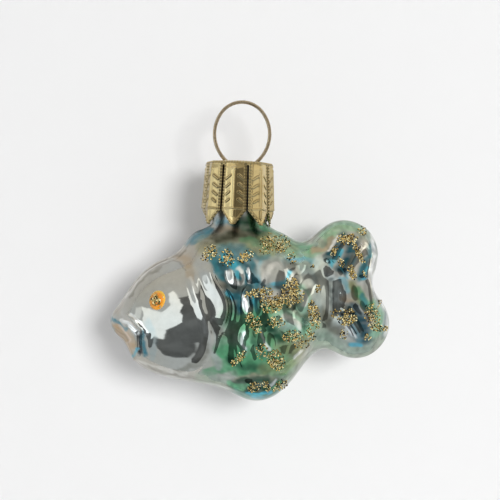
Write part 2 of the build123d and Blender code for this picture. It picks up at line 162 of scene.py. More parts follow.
# Brush strokes: colour, cover, half width, points (px)
STROKES = [
    # under coats
    ("sky", 0.7, 12, (222, 250), (254, 256), (290, 262), (318, 266)),
    ("teal", 0.88, 13, (226, 262), (240, 274), (248, 290)), ("green", 0.85, 16, (240, 322), (256, 334), (276, 342)),
    ("green", 0.92, 12, (226, 356), (252, 364), (282, 364)), ("sage", 0.65, 14, (300, 306), (312, 324), (322, 340)),
    ("sage", 0.6, 12, (270, 246), (296, 252), (322, 256)),
    ("sage", 0.65, 9, (322, 244), (336, 228), (354, 224), (372, 238)),
    ("sage", 0.65, 9, (322, 342), (344, 350), (366, 350), (382, 334)),
    ("sky", 0.3, 8, (376, 246), (372, 268), (378, 292), (386, 316)),
    # head
    ("tan", 0.55, 5, (114, 308), (122, 294), (134, 279), (152, 264), (176, 257), (190, 262)),
    ("tan", 0.65, 4, (178, 255), (187, 262), (190, 276)), ("tan", 0.45, 9, (188, 252), (197, 245), (206, 238)),
    ("amber", 0.8, 4.2, (117, 328), (126, 333), (132, 345)), ("tan", 0.6, 3, (124, 346), (130, 353), (134, 360)),
    ("teal", 0.92, 1.8, (111, 316), (117, 322), (126, 328)), ("sky", 0.6, 1.8, (109, 318), (111, 326), (118, 336)),
    # painted shade and painted reflection in the groove at the mouth corner: a black streak with a teal streak beside
    # it
    ("painted_groove_shade", 0.9, 1.8, (140, 331), (140, 353)), ("teal", 0.92, 2.2, (144, 331), (143, 344), (144, 354)),
    ("cyan", 0.7, 1.5, (137, 350), (134, 356), (132, 361)), ("sky", 0.4, 3, (148, 322), (152, 340), (152, 358)),
    ("olive", 0.45, 2.6, (207, 340), (203, 356), (190, 368), (176, 372)),
    # painted highlights along the lips, the forehead edge, the lower jaw and the gill ridge
    ("painted_highlight", 0.85, 1.7, (120, 318.5), (126, 321), (132, 326), (138, 333)),
    ("painted_highlight", 0.75, 1.4, (129, 313.5), (136, 318), (143, 326), (147, 333)),
    ("olive", 0.55, 1, (124, 297), (136, 280), (152, 266), (172, 257), (186, 251)),
    ("painted_highlight", 0.35, 1, (127, 297), (139, 281), (154, 268), (172, 260)),
    ("olive", 0.4, 0.9, (131, 297), (143, 281), (158, 269), (176, 262), (186, 270)),
    ("olive", 0.45, 0.9, (133, 362), (156, 371), (186, 377), (214, 384)),
    ("painted_highlight", 0.3, 1, (138, 361), (160, 369), (186, 374)),
    ("painted_highlight", 0.3, 2, (190, 280), (196, 296), (203, 314), (206, 330)),
    # nape and back
    ("teal", 0.85, 5, (190, 237), (198, 231), (208, 226)), ("teal", 0.6, 3, (196, 240), (203, 234), (211, 230)),
    ("teal", 0.88, 5, (187, 241), (196, 234), (206, 229)), ("sky", 0.6, 3, (207, 224), (215, 219), (224, 219)),
    ("moss", 0.55, 8, (206, 245), (224, 240), (244, 240), (266, 244)),
    ("olive", 0.6, 6, (208, 242), (224, 237), (244, 236), (266, 240)),
    ("umber", 0.75, 5, (218, 238), (228, 235), (244, 234), (258, 237)),
    ("green", 0.55, 3, (242, 240), (256, 242), (268, 246)), ("tan", 0.6, 2.4, (220, 229), (228, 227), (236, 229)),
    ("teal", 0.6, 3.5, (220, 222), (228, 219), (236, 222)), ("pine", 0.92, 7, (238, 220), (250, 225), (264, 232)),
    ("green", 0.8, 3, (250, 216), (254, 226)), ("green", 0.7, 4, (262, 224), (274, 232), (290, 241), (310, 249)),
    ("moss", 0.75, 6, (266, 240), (280, 246), (292, 250)), ("moss", 0.6, 5, (248, 248), (260, 252), (274, 250)),
    ("leaf", 0.4, 4, (290, 252), (304, 254), (318, 254)), ("cyan", 0.45, 2.2, (284, 262), (300, 258), (318, 264)),
    # flank, upper
    ("teal", 0.6, 5, (224, 250), (238, 250), (252, 254)), ("teal", 0.95, 3.6, (212, 255), (216, 266), (222, 278)),
    ("navy", 0.85, 4, (222, 262), (227, 274), (229, 284)), ("cyan", 0.9, 3.2, (226, 258), (234, 265), (241, 280)),
    ("sand", 0.8, 3, (231, 271), (234, 280), (240, 282)), ("teal", 0.85, 3.2, (247, 256), (253, 268), (256, 284)),
    ("navy", 0.8, 2.6, (242, 262), (247, 272), (248, 284)), ("cyan", 0.6, 2, (262, 262), (259, 270), (260, 280)),
    ("silver", 0.8, 8, (264, 272), (276, 267), (287, 272)), ("teal", 0.6, 4, (258, 284), (268, 288), (282, 286)),
    ("cyan", 0.8, 2.4, (274, 284), (283, 280), (289, 272)), ("olive", 0.55, 3, (286, 262), (294, 268), (298, 276)),
    ("teal", 0.6, 3, (250, 250), (260, 257), (270, 255)),
    # flank, middle
    ("navy", 0.9, 7, (230, 289), (242, 293), (254, 301), (262, 311)),
    ("olive", 0.5, 4, (216, 282), (228, 288), (244, 288)), ("pine", 0.7, 3.4, (230, 298), (233, 308), (229, 320)),
    ("cyan", 0.8, 1.8, (228, 292), (237, 297), (240, 310)), ("sand", 0.85, 2.2, (244, 298), (247, 306), (250, 311)),
    ("navy", 0.85, 3, (236, 296), (239, 304), (240, 312)), ("teal", 0.85, 2.6, (252, 298), (256, 306), (258, 314)),
    ("cyan", 0.8, 1.2, (252, 299), (255, 306), (256, 312)), ("green", 0.8, 8, (246, 326), (262, 314), (280, 308)),
    ("leaf", 0.8, 6, (250, 342), (262, 332), (272, 320)), ("mint", 0.92, 6.5, (279, 313), (290, 320), (303, 327)),
    ("pine", 0.92, 4.2, (268, 324), (275, 332), (281, 339)), ("grey", 0.6, 5, (302, 282), (312, 288), (316, 302)),
    ("pine", 0.88, 4.8, (298, 308), (304, 315), (305, 325)), ("mint", 0.85, 5, (301, 290), (306, 299), (304, 308)),
    ("sky", 0.55, 6, (318, 280), (322, 292), (318, 304)), ("olive", 0.45, 3.4, (214, 322), (222, 334), (236, 328)),
    # flank, lower
    ("green", 0.6, 6, (226, 340), (238, 350), (250, 356)), ("green", 0.85, 8, (224, 352), (246, 364), (268, 364)),
    ("mint", 0.7, 2.4, (243, 334), (242, 344), (245, 352)), ("pine", 0.7, 3, (254, 334), (256, 346), (262, 354)),
    ("green", 0.8, 4, (206, 373), (222, 368), (242, 373)), ("pine", 0.7, 3.6, (228, 360), (244, 366), (262, 366)),
    ("pine", 0.5, 2.4, (250, 374), (266, 370), (280, 362)), ("moss", 0.6, 7, (280, 350), (292, 346), (304, 342)),
    ("moss", 0.6, 6, (266, 368), (284, 366), (300, 352)), ("leaf", 0.5, 5, (290, 334), (304, 332), (314, 326)),
    ("sage", 0.6, 5, (200, 378), (226, 384), (244, 392)), ("tan", 0.55, 3.4, (238, 379), (258, 376), (280, 382)),
    ("pine", 0.96, 7, (236, 386), (256, 390), (278, 385)), ("pine", 0.85, 3.4, (240, 380), (252, 380), (268, 378)),
    ("leaf", 0.85, 2.4, (230, 382), (240, 387), (246, 386)), ("sea", 0.9, 3.8, (236, 392), (258, 398), (280, 391)),
    ("cyan", 0.8, 1.5, (248, 393), (260, 396), (270, 393)), ("green", 0.75, 2, (272, 389), (280, 381)),
    # the first stroke here is a painted highlight on the belly fin
    ("painted_highlight", 0.5, 1, (270, 385), (277, 379)), ("sage", 0.55, 5, (286, 386), (298, 370), (314, 354)),
    # tail, upper lobe
    ("leaf", 0.4, 5, (326, 236), (340, 227), (356, 228)), ("tan", 0.78, 3, (314, 251), (322, 250), (329, 240)),
    ("sand", 0.8, 2.6, (325, 258), (330, 250), (334, 243)), ("navy", 0.95, 4.4, (329, 258), (336, 246), (344, 237)),
    ("cyan", 0.88, 2.4, (330, 268), (336, 257), (341, 249)), ("navy", 0.96, 6.4, (342, 270), (349, 257), (353, 246)),
    ("olive", 0.6, 3, (349, 266), (353, 256)), ("cyan", 0.75, 1.8, (347, 277), (352, 268), (356, 258)),
    ("sand", 0.75, 3, (350, 276), (358, 260), (364, 245)), ("teal", 0.85, 4, (361, 276), (366, 262), (372, 248)),
    ("navy", 0.7, 2.4, (362, 272), (366, 264)), ("cyan", 0.75, 1.8, (365, 277), (369, 268)),
    ("grey", 0.75, 5, (320, 262), (322, 276), (326, 284)), ("sand", 0.75, 4, (328, 270), (333, 275), (338, 276)),
    # tail, middle
    ("grey", 0.85, 8, (328, 284), (332, 300), (336, 318)), ("slate", 0.55, 5, (320, 312), (326, 322), (336, 326)),
    ("slate", 0.92, 2.4, (330, 280), (331, 294), (331, 308), (330, 319)), ("cyan", 0.55, 3.4, (341, 280), (346, 289)),
    ("amber", 0.6, 3.4, (344, 298), (350, 301)), ("moss", 0.8, 5, (352, 284), (355, 292), (360, 298)),
    ("green", 0.8, 4, (358, 290), (364, 300), (370, 306)), ("teal", 0.7, 3, (362, 296), (368, 306)),
    # tail, lower lobe
    ("olive", 0.6, 6, (338, 310), (348, 312), (356, 318)), ("navy", 0.9, 6, (354, 308), (361, 322), (366, 338)),
    ("teal", 0.7, 4, (344, 318), (352, 330), (358, 340)), ("cyan", 0.85, 2.4, (351, 344), (360, 345)),
    ("leaf", 0.65, 5, (374, 306), (378, 320), (376, 332)), ("mint", 0.5, 4, (374, 334), (381, 330)),
    ("sky", 0.55, 3, (384, 300), (388, 316), (386, 332)), ("olive", 0.7, 5, (324, 318), (331, 326), (338, 331)),
    # painted highlights: pale strokes where a bright reflection should show
    ("painted_highlight", 0.85, 2.4, (371, 236), (374, 250), (373, 266), (371, 282), (377, 293), (385, 305)),
    ("painted_highlight", 0.7, 1.8, (386, 308), (389, 320), (387, 332)), ("painted_highlight", 0.8, 1.4, (329, 249), (333, 242), (337, 238)),
    ("painted_highlight", 0.95, 1.7, (345, 325), (349, 330), (353, 335)),
    ("painted_highlight", 0.95, 2.2, (228, 272), (230, 281), (238, 283)), ("painted_highlight", 0.9, 1.6, (237, 268), (241, 273), (242, 281)),
    ("painted_highlight", 0.95, 1.9, (243.5, 299), (245, 305), (248, 311)),
    ("painted_highlight", 0.85, 1.2, (246, 270), (249, 277), (248, 282)),
    ("painted_highlight", 0.55, 2.6, (264, 279), (268, 271), (276, 265)), ("painted_highlight", 0.7, 3, (284, 316), (292, 321), (299, 327)),
    ("painted_highlight", 0.75, 2.4, (303, 293), (306, 299), (305, 305)),
    ("painted_highlight", 0.85, 1.3, (243, 334), (241, 342), (244, 349)), ("painted_highlight", 0.7, 1.3, (262, 332), (264, 342), (268, 350)),
    ("painted_highlight", 0.6, 1.4, (293, 358), (297, 353), (301, 349)), ("silver", 0.7, 3.6, (213, 353), (216, 359), (216, 365)),
]

# ---- glitter
# x, y, half width, half height, turn, flakes (px)
GLITTER = [
    (209, 253, 10, 7, 40, 46), (227, 258, 8, 9, 0, 58), (246, 256, 9, 6, 30, 44), (266, 244, 8, 12, -10, 46),
    (280, 244, 11, 9, 0, 60), (262, 292, 12, 5, 5, 62), (272, 303, 13, 10, 20, 120), (290, 292, 9, 16, -10, 120),
    (298, 296, 7, 7, 0, 30), (250, 295, 6, 4, 0, 20), (314, 315, 6, 15, 12, 96), (310, 333, 5, 8, 30, 22),
    (292, 336, 10, 6, 10, 54), (302, 342, 9, 8, 40, 24), (254, 323, 7, 12, 35, 56), (276, 322, 9, 6, -10, 34),
    (239, 358, 11, 4, 42, 36), (276, 360, 9, 11, 20, 84), (262, 351, 7, 9, 10, 22), (254, 387, 7, 5, 20, 34),
    (266, 386, 4, 6, 10, 18), (280, 386, 9, 5, 35, 36), (347, 239, 11, 6, 5, 76), (334, 251, 6, 3, 60, 26),
    (362, 231, 5, 5, 0, 20), (359, 254, 3, 13, 28, 52), (352, 272, 4, 8, 20, 40), (341, 262, 3, 6, 25, 18),
    (347, 317, 10, 9, 0, 84), (334, 313, 4, 5, 0, 10), (344, 334, 4, 6, 0, 12), (372, 316, 8, 13, 10, 60),
    (379, 328, 9, 4, 0, 34), (368, 337, 4, 4, 0, 12), (381, 300, 2, 8, -25, 14), (318, 289, 3, 4, 0, 10),
    (313, 267, 3, 2, 30, 6), (292, 258, 5, 6, 0, 12), (364, 274, 2, 4, 20, 8),
]
FLAKE_MM = 0.22
FLAKE_THICK_MM = 0.04
GLITTER_DENSITY = 2.3
FLAKE_LIFT_MM = 0.05
FLAKE_TILT = 0.75
FLAKE_COLOURS = [  # colour and share
    ((0.72, 0.52, 0.18), 36), ((1.0, 0.88, 0.5), 30), ((0.34, 0.23, 0.06), 18),
    ((0.02, 0.018, 0.012), 20), ((0.08, 0.2, 0.08), 2),
]

GROUPS = ["nape", "back", "flank", "rear", "side", "belly", "tail_top", "tail_low"]

# ---- eye
EYE_X, EYE_Y = 157.2, 300.0
EYE_HALF_MM = (1.4, 1.55)
EYE_DOME_MM = 0.45
# The pupil, like a row of GLITTER, and single flakes beside it
PUPIL = (EYE_X - 1.2, EYE_Y - 0.2, 4.6, 5.6, 0, 64)
STRAYS = [(EYE_X + 5.8, EYE_Y - 2.5), (EYE_X + 3.2, EYE_Y + 6.8), (EYE_X - 8.6, EYE_Y + 0.5)]
ENAMEL = (0.93, 0.3, 0.015)
ENAMEL_EDGE = (0.88, 0.55, 0.05)

# ---- neck
NECK_R = 4.2
BORE_R = 3.5
NECK_RIM_Z = -9.357
FOOT_R = 6.8
FOOT_START_Z = -19.3

# ---- crown cap
SHEET = 0.25
CAP_TOP_Z = -8.987
CAP_HEIGHT = 10.2
PETALS = 8
PETAL_TURN = 6.0
FIRST_RIDGE = math.radians(-90 - PETAL_TURN)
PETAL_POINT = 2.2
RIM_DROP = 0.75
TOP_CORNER = 4.925
RIM_CORNER = 5.42
TIP_CORNER = 5.98
SLOT_HALF = 0.15
TIP_HALF = 0.25
FOLD = {7: 0.1, 0: 0.44, 1: 0.3}
CAP_LEAN = 2.2
TOP_DOME = 0.45
PETAL_BEND = {6: 1.3, 2: 0.6}
# painted light and shade on each petal: the left and right half are lighter or darker for the reflection each facet
# shows
PETAL_LIGHT_AND_SHADE = {7: (0.7, 0.7), 0: (1.05, 0.55), 1: (1.05, 1.05)}  # left and right half
# x0, z0, x1, z1, width and height of the trunk, the star and the pot
FIR_AND_POT = [
    (0, 1.3, 0, 6.8, 0.16, 0.1), (0, 0.78, 0, 0.84, 0.26, 0.14), (0, 6.95, 1.5, 7.05, 0.12, 0.1),
    (0, 7.35, 0, 8.2, 0.12, 0.08),
]
BEAD_PITCH = 0.47
RIM_BEADS = 66
LEAF_TILT = math.radians(34)
# How far across and down the leaves are, and their half length
LEAVES = [(0.95, 2.2, 0.5), (1.0, 3.5, 0.42), (1.0, 4.7, 0.4), (0.95, 5.8, 0.34)]
HOLE_X = 2.4
HOLE_HALF = (0.52, 0.395)
# Rim of the top plate: steps outwards and down
CAP_SHOULDER = [(0.0, 0.0), (0.12, 0.02), (0.28, 0.1), (0.45, 0.28), (0.6, 0.5), (0.66, 0.75), (0.67, 1.0)]

# ---- stage and light
BACKDROP_HALF, BACKDROP_Y, BACKDROP_TOP = 260, 10.3, 260
FLOOR_HALF, FLOOR_Z = 400, -95
PALE = 0.905
PALE_SHARE = 0.22
KEY_SPOT, KEY_AIM = (500, -1100, 150), (0, 0, -25)
AMBIENT = 0.24
ROOM = 0.85
WINDOW = 1.85
ROOM_TINTS = [(0.92, 1.05), (0.985, 1.0), (1.03, 0.9)]  # red, green and blue, below and above
# Reflected room: corners of each patch across and up, softness, light, which is None for the dark corner
STUDIO = [
    ([(-0.42, -0.2), (-0.455, -0.5), (-0.385, -0.67), (-0.3, -0.71), (-0.23, -0.69), (-0.15, -0.54),
      (-0.15, 0.3), (-0.28, 0.3)], 0.01, None),
    ([(-0.16, -0.38), (-0.06, -0.33), (0.08, -0.2), (0.1, 0.08), (-0.03, 0.16), (-0.16, 0.3)], 0.012, None),
    ([(0.29, -0.2), (0.6, -0.32), (0.62, 0.28), (0.38, 0.4), (0.29, 0.15)], 0.03, 0.3),
    ([(-0.8, -0.12), (-0.6, -0.12), (-0.6, 0.22), (-0.8, 0.25)], 0.03, 1.35),
    ([(-0.62, 0.23), (-0.42, -0.29), (-0.38, -0.3), (-0.385, -0.15), (-0.43, 0.08), (-0.5, 0.16)], 0.008, WINDOW),
    ([(-0.44, -0.1), (-0.385, -0.17), (-0.33, -0.13), (-0.22, -0.06), (-0.235, 0.02), (-0.28, 0.09),
      (-0.36, 0.19), (-0.43, 0.08)], 0.008, WINDOW),
    ([(-0.37, 0.19), (-0.28, 0.08), (-0.255, 0.17), (-0.27, 0.27), (-0.34, 0.42), (-0.37, 0.38)], 0.008, WINDOW),
    ([(0.66, 0.1), (0.78, 0.14), (0.74, 0.46), (0.62, 0.44)], 0.03, WINDOW),
]


# ---- helpers
def new_object(name, data):
    obj = bpy.data.objects.new(name, data)
    bpy.context.scene.collection.objects.link(obj)
    return obj


def new_mesh(name, points, faces, smooth=True):
    mesh = bpy.data.meshes.new(name)
    points = np.array([tuple(p) for p in points]) * MM
    mesh.from_pydata([tuple(p) for p in points], [], faces)
    mesh.validate()
    if smooth:
        mesh.shade_smooth()
    return new_object(name, mesh)


def paint(obj, colours, haze=0.0):
    """Stores a colour, or one tone, for each point, with the haze as its alpha."""
    rgba = np.ones((len(colours), 4), np.float32)
    rgba[:, :3] = colours
    rgba[:, 3] = haze
    layer = obj.data.color_attributes.new(PAINT, "FLOAT_COLOR", "POINT")
    layer.data.foreach_set("color", rgba.ravel())


def ring_faces(rings, around, first=0, flip=False):
    """Quads between closed rings of points."""
    faces = []
    for r in range(rings - 1):
        for c in range(around):
            a, b = first + r * around + c, first + r * around + (c + 1) % around
            faces.append((a, a + around, b + around, b) if flip else (a, b, b + around, a + around))
    return faces


def dome_faces(rings, around):
    """A middle point with closed rings around it."""
    return [(0, 1 + c, 1 + (c + 1) % around) for c in range(around)] + ring_faces(rings, around, 1, True)


def prism_faces(n):
    """Two parallel faces of n points, the first turned down, and the sides between them."""
    return [tuple(range(n))[::-1], tuple(range(n, 2 * n))] + ring_faces(2, n)


def natural_spline(knots, rows, at):
    """Smooth curve through the rows, with free ends."""
    n = len(knots)
    h = np.diff(knots)
    a = np.eye(n)
    b = np.zeros_like(rows)
    for i in range(1, n - 1):
        a[i, i - 1 : i + 2] = h[i - 1], 2 * (h[i - 1] + h[i]), h[i]
        b[i] = 6 * ((rows[i + 1] - rows[i]) / h[i] - (rows[i] - rows[i - 1]) / h[i - 1])
    m = np.linalg.solve(a, b)
    k = np.clip(np.searchsorted(knots, at, side="right") - 1, 0, n - 2)
    step = h[k][:, None]
    p = (knots[k + 1] - at)[:, None]
    q = (at - knots[k])[:, None]
    cubic = (m[k] * p**3 + m[k + 1] * q**3) / (6 * step)
    linear = (rows[k] / step - m[k] * step / 6) * p + (rows[k + 1] / step - m[k + 1] * step / 6) * q
    return cubic + linear


def smooth_points(points, steps=10):
    """A rounded line through a few given points."""
    points = np.array(points, float)
    if len(points) < 3:
        return points
    knots = np.concatenate([[0], np.cumsum(np.linalg.norm(np.diff(points, axis=0), axis=1))])
    return natural_spline(knots, points, np.linspace(0, knots[-1], steps * (len(points) - 1) + 1))


def line_distance(px, py, points):
    """Distance from each point to a line, how far along it from 0 to 1, and its side."""
    line = smooth_points(points)
    best = np.full(px.shape, 1e9)
    along = np.zeros(px.shape)
    right = np.zeros(px.shape, bool)
    count = len(line) - 1
    for i in range(count):
        ax, ay = line[i]
        dx, dy = line[i + 1] - line[i]
        t = np.clip(((px - ax) * dx + (py - ay) * dy) / (dx * dx + dy * dy), 0, 1)
        d = np.hypot(px - ax - t * dx, py - ay - t * dy)
        nearer = d < best
        best = np.where(nearer, d, best)
        along = np.where(nearer, (i + t) / count, along)
        right = np.where(nearer, dx * (py - ay) - dy * (px - ax) < 0, right)
    return best, along, right


def smoothstep(x, low, high):
    t = np.clip((x - low) / (high - low), 0, 1)
    return t * t * (3 - 2 * t)


def bell(x, centre, width):
    return np.exp(-(((x - centre) / width) ** 2))


def value_noise(points, size, seed):
    """Smooth noise from -1 to 1 at 3-D points."""
    grid = np.random.RandomState(seed).uniform(-1, 1, (32, 32, 32))
    p = points / size + 100.0
    cell = np.floor(p).astype(int)
    f = p - cell
    f = f * f * (3 - 2 * f)
    total = np.zeros(len(points))
    for corner in itertools.product((0, 1), repeat=3):
        weight = np.prod(np.where(corner, f, 1 - f), axis=1)
        x, y, z = ((cell + corner) % 32).T
        total += weight * grid[x, y, z]
    return total


def around_neck(r, turn, z):
    return np.stack([NECK_X + r * np.cos(turn), r * np.sin(turn), z + 0 * turn], axis=-1)


def turned(turn, x, y):
    """x and y seen from axes that are turned by so many degrees."""
    c, s = math.cos(math.radians(turn)), math.sin(math.radians(turn))
    return x * c + y * s, -x * s + y * c


# ---- glass body
def body_grid():
    """Points of the smooth body: one row of points for each ring, and its two poles."""
    share = np.array([NOSE * 2 + (0, 0), *STATIONS, NOTCH * 2 + (0, 0)])
    rows = share * (1, 1, 1, 1, BODY_LENGTH, BODY_THICK / 2)
    rows[:, [0, 2]] = NECK_X + (share[:, [0, 2]] - NECK_AXIS_SHARE) * BODY_LENGTH
    rows[:, [1, 3]] = SHOULDER_Z + (share[:, [1, 3]] - SHOULDER_SHARE) * BODY_HEIGHT
    step = np.sqrt(((np.diff(rows, axis=0)) ** 2 @ (1, 1, 1, 1, 0.5, 2.0)) / 3)
    knots = np.concatenate([[0], np.cumsum(step)])
    at = np.linspace(0, knots[-1], RINGS + 2)[1:-1]
    # a few closer rings at each pole
    head, tail = np.linspace(0, at[0], POLE_RINGS + 2), np.linspace(at[-1], knots[-1], POLE_RINGS + 2)
    form = natural_spline(knots, rows, np.concatenate([head[1:-1], at, tail[1:-1]]))
    turn = np.linspace(0, math.tau, RING_POINTS, endpoint=False)
    cos, sin = np.cos(turn)[None, :], np.sin(turn)[None, :]
    xt, zt, xl, zl, bow, thick = (form[:, i : i + 1] for i in range(6))
    x = (xt + xl) / 2 + (xt - xl) / 2 * cos + bow * (1 - cos * cos)
    z = (zt + zl) / 2 + (zt - zl) / 2 * cos
    y = -np.maximum(thick, 0.02) * sin
    return np.stack([x, y, z], axis=-1), [(row[0], 0, row[1]) for row in (rows[0], rows[-1])]


def body_faces(rings, around):
    faces = ring_faces(rings, around)
    last, nose, tail = (rings - 1) * around, rings * around, rings * around + 1
    for c in range(around):
        d = (c + 1) % around
        faces += [(nose, d, c), (tail, last + c, last + d)]
    return faces


def relief(px, py):
    height = np.zeros(px.shape)
    for amount, left_width, right_width, *points in LINES:
        d, along, right = line_distance(px, py, points)
        ends = smoothstep(along, -0.02, 0.14) * (1 - smoothstep(along, 0.86, 1.02))
        height += amount * bell(d, 0, np.where(right, right_width, left_width)) * (0.25 + 0.75 * ends)
    for amount, x, y, half_w, half_h, turn in BUMPS:
        u, v = turned(turn, px - x, py - y)
        u, v = u / half_w, v / half_h
        height += amount * np.clip(1 - (u * u + v * v) / 1.6, 0, 1) ** 1.6
    return height


def lacquer_and_painted_light(points, px, py, facing=None):
    """Brush strokes of clear colour over the silver, on both flanks alike, with painted highlights and painted shade
    among them.
    """
    wx = px + (2.6 * value_noise(points, 1.6, 11) + 1.2 * value_noise(points, 0.6, 12))
    wy = py + (2.6 * value_noise(points, 1.6, 13) + 1.2 * value_noise(points, 0.6, 14))
    tint = 0.5 + 0.5 * value_noise(points, 5.0, 15)[:, None]
    colour = SILVER * (1 - 0.22 * tint * (0.1, 0.35, 0.7))
    streak = np.clip(0.95 + 0.3 * value_noise(points * (1.0, 1.0, 2.2), 0.9, 16), 0.5, 1.06)
    for name, cover, width, *stroke in STROKES:
        d = line_distance(wx, wy, stroke)[0]
        a = (cover * np.exp(-((d / (width * 1.18)) ** 4)) * streak)[:, None]
        colour = colour * (1 - a) + LACQUER[name] * a
    brush = 0.26 * value_noise(points * (1.0, 1.0, 0.5), 0.5, 18) + 0.2 * value_noise(points, 1.3, 19)
    colour = colour * (1 + brush * smoothstep(px, 205, 225))[:, None]
    if facing is not None:
        # painted shade: two thin darker lines where the glass turns side-on, and a blue-grey band on the outermost rim
        # that tones down the bright reflection there
        turn = facing + 0.05 * value_noise(points, 1.5, 17)
        dark = 0.55 * bell(turn, 0.3, 0.035) + 0.3 * bell(turn, 0.44, 0.03)
        edge = 0.55 * (1 - smoothstep(turn, 0.06, 0.2))[:, None]
        colour = colour * (1 - dark[:, None] * (0.85, 0.9, 1.0))
        colour = colour * (1 - edge) + edge * RIM_SHADE
    return np.clip(colour, 0.0, 1.0)


def make_glass():
    grid, poles = body_grid()
    across = np.roll(grid, -1, axis=1) - np.roll(grid, 1, axis=1)
    normal = np.cross(across, np.gradient(grid, axis=0))
    normal /= np.linalg.norm(normal, axis=-1, keepdims=True) + 1e-12
    if ((grid - grid.mean(axis=1, keepdims=True)) * normal).sum() < 0:
        normal = -normal
    flat, normal = grid.reshape(-1, 3), normal.reshape(-1, 3)
    px, py = to_px(*flat.T)
    side_on = smoothstep(np.abs(normal[:, 1]), 0.1, 0.45)
    clear_of_cap = smoothstep(np.hypot(flat[:, 0] - NECK_X, flat[:, 1]), 4.5, 7.0) + (flat[:, 2] < -24)
    clear_of_cap = np.clip(clear_of_cap, 0, 1)
    height = relief(px, py) * side_on * clear_of_cap
    height += RIPPLE_MM * value_noise(flat, RIPPLE_SIZE, 21) + FINE_RIPPLE_MM * value_noise(flat, FINE_RIPPLE_SIZE, 22)
    scaled = smoothstep(px, 214, 238) * clear_of_cap
    ripple = value_noise(flat * (1.25, 1.0, 0.8), FLANK_RIPPLE_SIZE, 23)
    height += FLANK_RIPPLE_MM * ripple * scaled * side_on
    points = np.vstack([flat + normal * height[:, None], poles])
    body = new_mesh("silvered_glass_body", points, body_faces(*grid.shape[:2]))
    facing = np.concatenate([np.abs(normal[:, 1]), [0.0, 0.0]])
    away = np.hypot(points[:, 0] - NECK_X, points[:, 1]) + 0.8 * np.maximum(-22.0 - points[:, 2], 0)
    paint(body, lacquer_and_painted_light(points, *to_px(*points.T), facing), haze=1 - smoothstep(away, 6.0, 9.0))
    return body


def surface_tree(obj):
    faces = [tuple(p.vertices) for p in obj.data.polygons]
    return BVHTree.FromPolygons([v.co / MM for v in obj.data.vertices], faces, all_triangles=False)


def make_neck(tree):
    """Open tube of the neck, with a rounded foot that runs out onto the shoulder."""
    around, foot_steps = 128, 20
    rim_mid, rim_half = (NECK_R + BORE_R) / 2, (NECK_R - BORE_R) / 2
    rim_z = NECK_RIM_Z - rim_half
    profile = [(BORE_R, z) for z in np.linspace(SHOULDER_Z - 1.5, rim_z, 8)]
    for k in range(1, 6):
        a = math.pi - math.pi * k / 6
        profile.append((rim_mid + rim_half * math.cos(a), rim_z + rim_half * math.sin(a)))
    profile += [(NECK_R, z) for z in np.linspace(rim_z, FOOT_START_Z + 1.2, 12)]
    rings = [[spot] * around for spot in profile] + [[] for _ in range(foot_steps)]
    for c in range(around):
        ex, ey = math.cos(math.tau * c / around), math.sin(math.tau * c / around)
        hit, normal, _, _ = tree.ray_cast(Vector((NECK_X + FOOT_R * ex, FOOT_R * ey, -5.0)), Vector((0, 0, -1)))
        slope = np.array([normal.z, -(normal.x * ex + normal.y * ey)])
        slope /= np.linalg.norm(slope)
        start, end = np.array([NECK_R, FOOT_START_Z + 0.9]), np.array([FOOT_R, hit.z - 0.03])
        reach = np.linalg.norm(end - start)
        down, out = np.array([0, -1.0]) * reach * 0.9, slope * reach * 1.1
        for k in range(foot_steps):
            t = (k + 1) / foot_steps
            spot = (2 * t**3 - 3 * t**2 + 1) * start + (t**3 - 2 * t**2 + t) * down
            spot = spot + (-2 * t**3 + 3 * t**2) * end + (t**3 - t**2) * out
            rings[len(profile) + k].append(tuple(spot))
    r, z = np.array(rings).transpose(2, 0, 1)
    points = around_neck(r, np.arange(around) * math.tau / around, z).reshape(-1, 3)
    neck = new_mesh("neck", points, ring_faces(len(rings), around))
    paint(neck, lacquer_and_painted_light(points, *to_px(*points.T)), haze=1.0)
    return neck


def join(target, *others):
    bpy.ops.object.select_all(action="DESELECT")
    for obj in (target, *others):
        obj.select_set(True)
    bpy.context.view_layer.objects.active = target
    bpy.ops.object.join()
    return target


# ---- glitter and eyes
def side_ray(tree, px, py, side):
    """The glass seen at a pixel, on one flank."""
    x, z = AIM_X + (px - FRAME_PX / 2) * PX_MM, AIM_Z - (py - FRAME_PX / 2) * PX_MM
    eye = Vector((AIM_X, side * CAMERA_FAR, AIM_Z))
    way = (Vector((x, 0, z)) - eye).normalized()
    hit, normal, _, _ = tree.ray_cast(eye, way)
    if hit is not None and normal.dot(way) > 0:
        normal = -normal
    return hit, normal


def flake_points(spot, normal, size, rng, tilt):
    helper = Vector((1, 0, 0)) if abs(normal.x) < 0.9 else Vector((0, 0, 1))
    lean = normal + Vector((rng.uniform(-1, 1), rng.uniform(-1, 1), rng.uniform(-1, 1))) * tilt
    lean.normalize()
    u = lean.cross(helper).normalized()
    v = lean.cross(u)
    spin = rng.uniform(0, math.tau)
    turns = [spin + k * math.tau / 6 for k in range(6)]
    low = [spot + (u * math.cos(a) + v * math.sin(a)) * size / 2 for a in turns]
    return low + [point + lean * FLAKE_THICK_MM for point in low]


def pick_colour(rng):
    at = rng.uniform(0, sum(weight for _, weight in FLAKE_COLOURS))
    for colour, weight in FLAKE_COLOURS:
        at -= weight
        if at <= 0:
            return colour
    return FLAKE_COLOURS[0][0]


